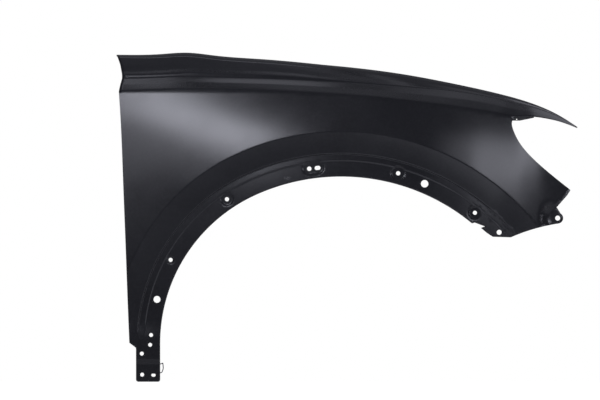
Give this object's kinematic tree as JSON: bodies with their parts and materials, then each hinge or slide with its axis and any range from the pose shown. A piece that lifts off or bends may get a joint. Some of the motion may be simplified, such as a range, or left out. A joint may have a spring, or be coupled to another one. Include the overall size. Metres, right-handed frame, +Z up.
{
  "type": "car fender",
  "caption": "Right-hand front car fender: a pressed steel panel with wheel arch, shoulder, rail flange, lamp cut-out, sill leg and clip holes, in satin black primer.",
  "frame": {"origin": "on the underside of the rail flange, at its second bolt pad from the rear, where the panel rests on the body's rail", "axes": "+X towards the front of the car, +Z up, -Y outboard, so the visible side faces -Y"},
  "size_m": [1.0401, 0.1408, 0.7413],
  "materials": {
    "primer_black": "satin black dipped primer on steel sheet",
    "bracket_primer": "satin black primer on steel sheet",
    "clip_zinc": "zinc plated spring steel"
  },
  "bodies": {
    "root": {"fender_panel": "primer_black", "lamp_bracket": "bracket_primer", "liner_clip": "clip_zinc"}
  },
  "joints": []
}
